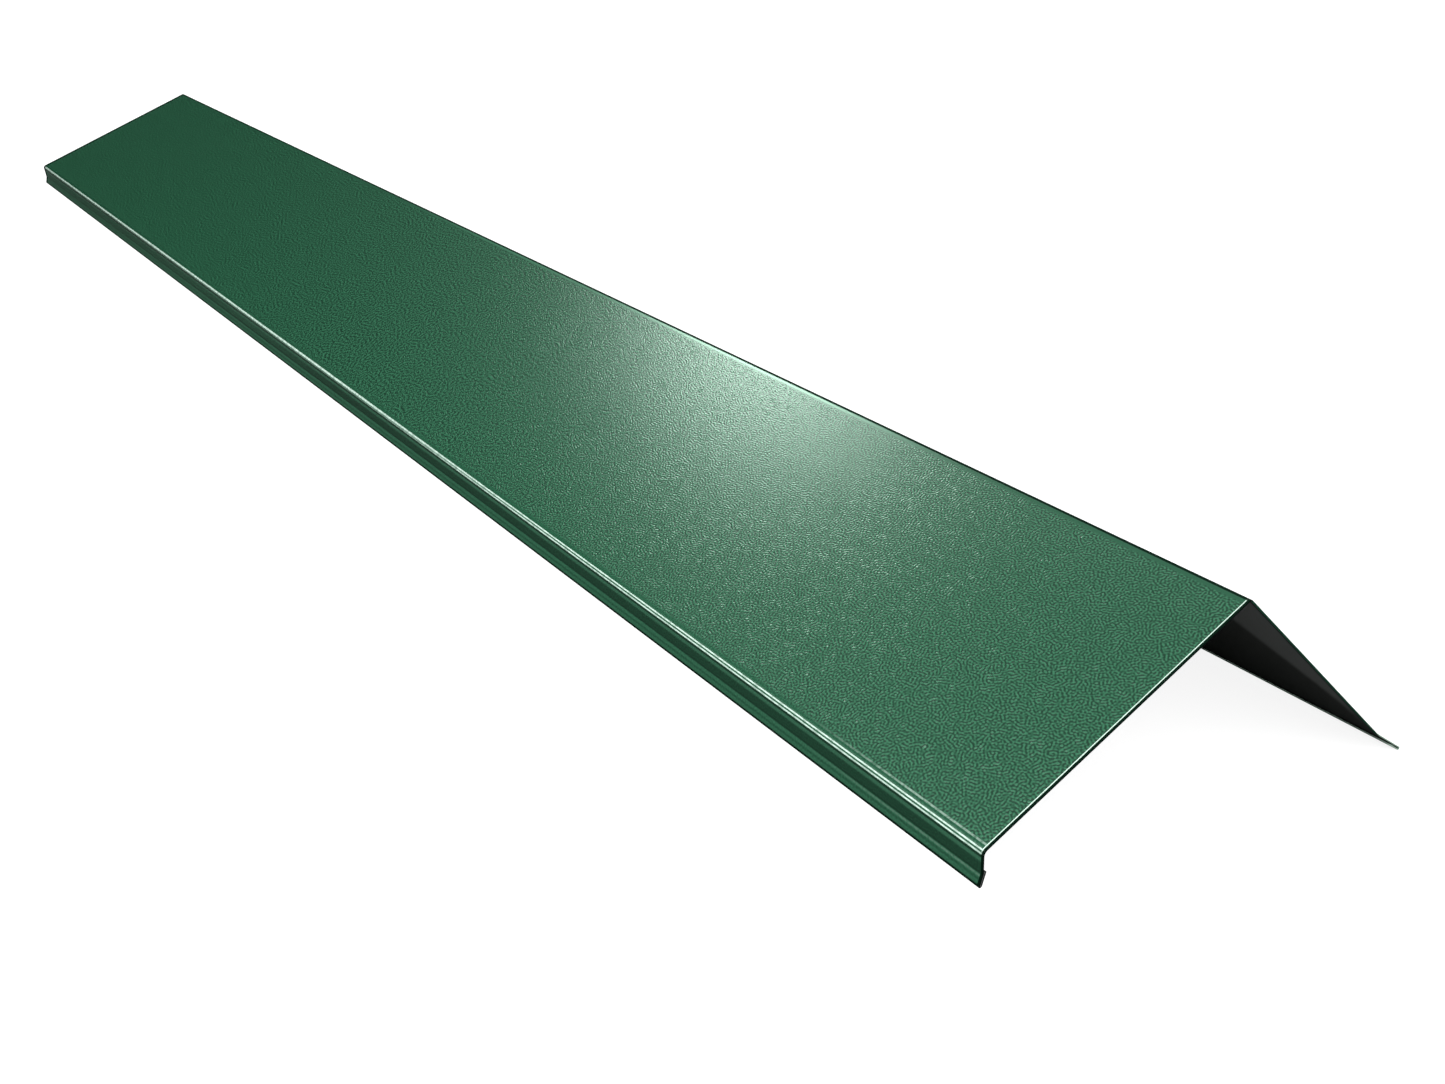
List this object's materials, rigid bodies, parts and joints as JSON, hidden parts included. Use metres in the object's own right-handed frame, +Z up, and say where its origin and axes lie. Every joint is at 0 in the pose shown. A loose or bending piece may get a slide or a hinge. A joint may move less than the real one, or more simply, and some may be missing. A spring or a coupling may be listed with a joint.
{
  "type": "verge flashing",
  "caption": "Folded verge flashing of coated steel sheet: a roof leg with a turned-down hemmed lip and a fascia leg with a hemmed drip.",
  "frame": {"origin": "middle of the floor under the strip, as it stands on the tips of its two hems", "axes": "+Y along the strip, +Z up towards the ridge bend, +X from the roof leg towards the fascia leg"},
  "size_m": [0.3288, 1.25, 0.1028],
  "materials": {
    "coated_steel": "matt textured green coating outside, near-black backing coat inside"
  },
  "bodies": {
    "root": {"verge_flashing": "coated_steel"}
  },
  "joints": []
}
